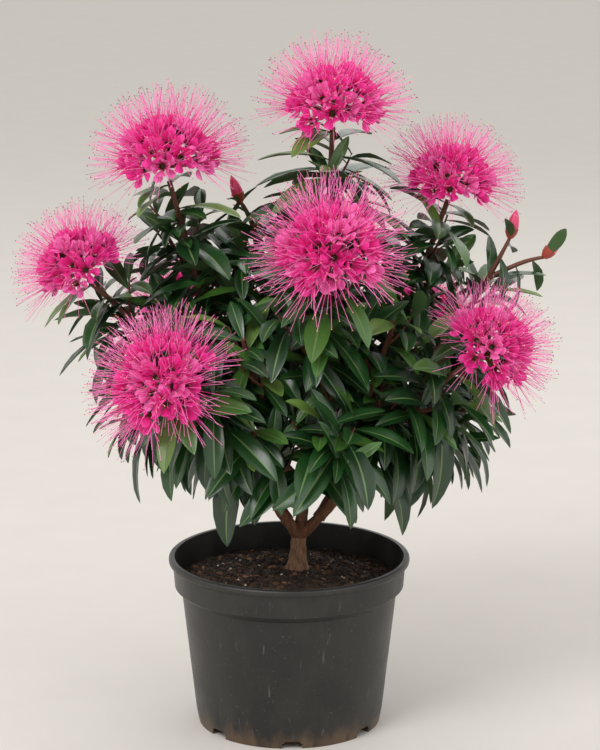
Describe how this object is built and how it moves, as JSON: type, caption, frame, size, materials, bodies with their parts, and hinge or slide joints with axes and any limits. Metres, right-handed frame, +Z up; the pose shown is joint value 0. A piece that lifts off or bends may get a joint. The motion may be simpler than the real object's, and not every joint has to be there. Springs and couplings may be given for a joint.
{
  "type": "potted flowering shrub",
  "caption": "Flowering evergreen shrub with pink pompom flower heads and glossy narrow leaves on a short forked trunk, standing in a round plastic nursery pot.",
  "frame": {"origin": "centre of the flat underside of the pot, on the surface it stands on", "axes": "+Z up along the pot's axis, -Y towards the front of the plant, +X to the right as seen from the front"},
  "size_m": [0.4481, 0.3723, 0.5772],
  "materials": {
    "pot": "charcoal black, scuffed, with dust and a brown line of soil near its foot",
    "potting_mix": "dark brown moist mix with bark chips",
    "bark": "brown bark with leaf scars",
    "foliage": "glossy dark green leaves on reddish brown twigs",
    "flowering_foliage": "magenta pink heads of stamens over glossy dark green leaves"
  },
  "bodies": {
    "root": {"bough_back": "bark", "bough_back_left": "bark", "bough_back_right": "bark", "bough_centre": "bark", "bough_far_right": "bark", "bough_front_left": "bark", "bough_left": "bark", "bough_low_back": "bark", "bough_low_front": "bark", "bough_low_left": "bark", "bough_low_right": "bark", "bough_mid_left": "bark", "bough_mid_right": "bark", "bough_right": "bark", "bough_side_left": "bark", "bough_top": "bark", "bough_upper_left": "bark", "bough_upper_right": "bark", "foliage_back": "flowering_foliage", "foliage_back_left": "flowering_foliage", "foliage_back_right": "flowering_foliage", "foliage_centre": "flowering_foliage", "foliage_far_right": "flowering_foliage", "foliage_front_left": "foliage", "foliage_left": "flowering_foliage", "foliage_low_back": "foliage", "foliage_low_front": "foliage", "foliage_low_left": "foliage", "foliage_low_right": "foliage", "foliage_lower_left": "flowering_foliage", "foliage_mid_left": "flowering_foliage", "foliage_mid_right": "foliage", "foliage_right": "flowering_foliage", "foliage_top": "flowering_foliage", "foliage_upper_left": "flowering_foliage", "foliage_upper_right": "flowering_foliage", "pot": "pot", "potting_mix": "potting_mix", "trunk": "bark"}
  },
  "joints": []
}
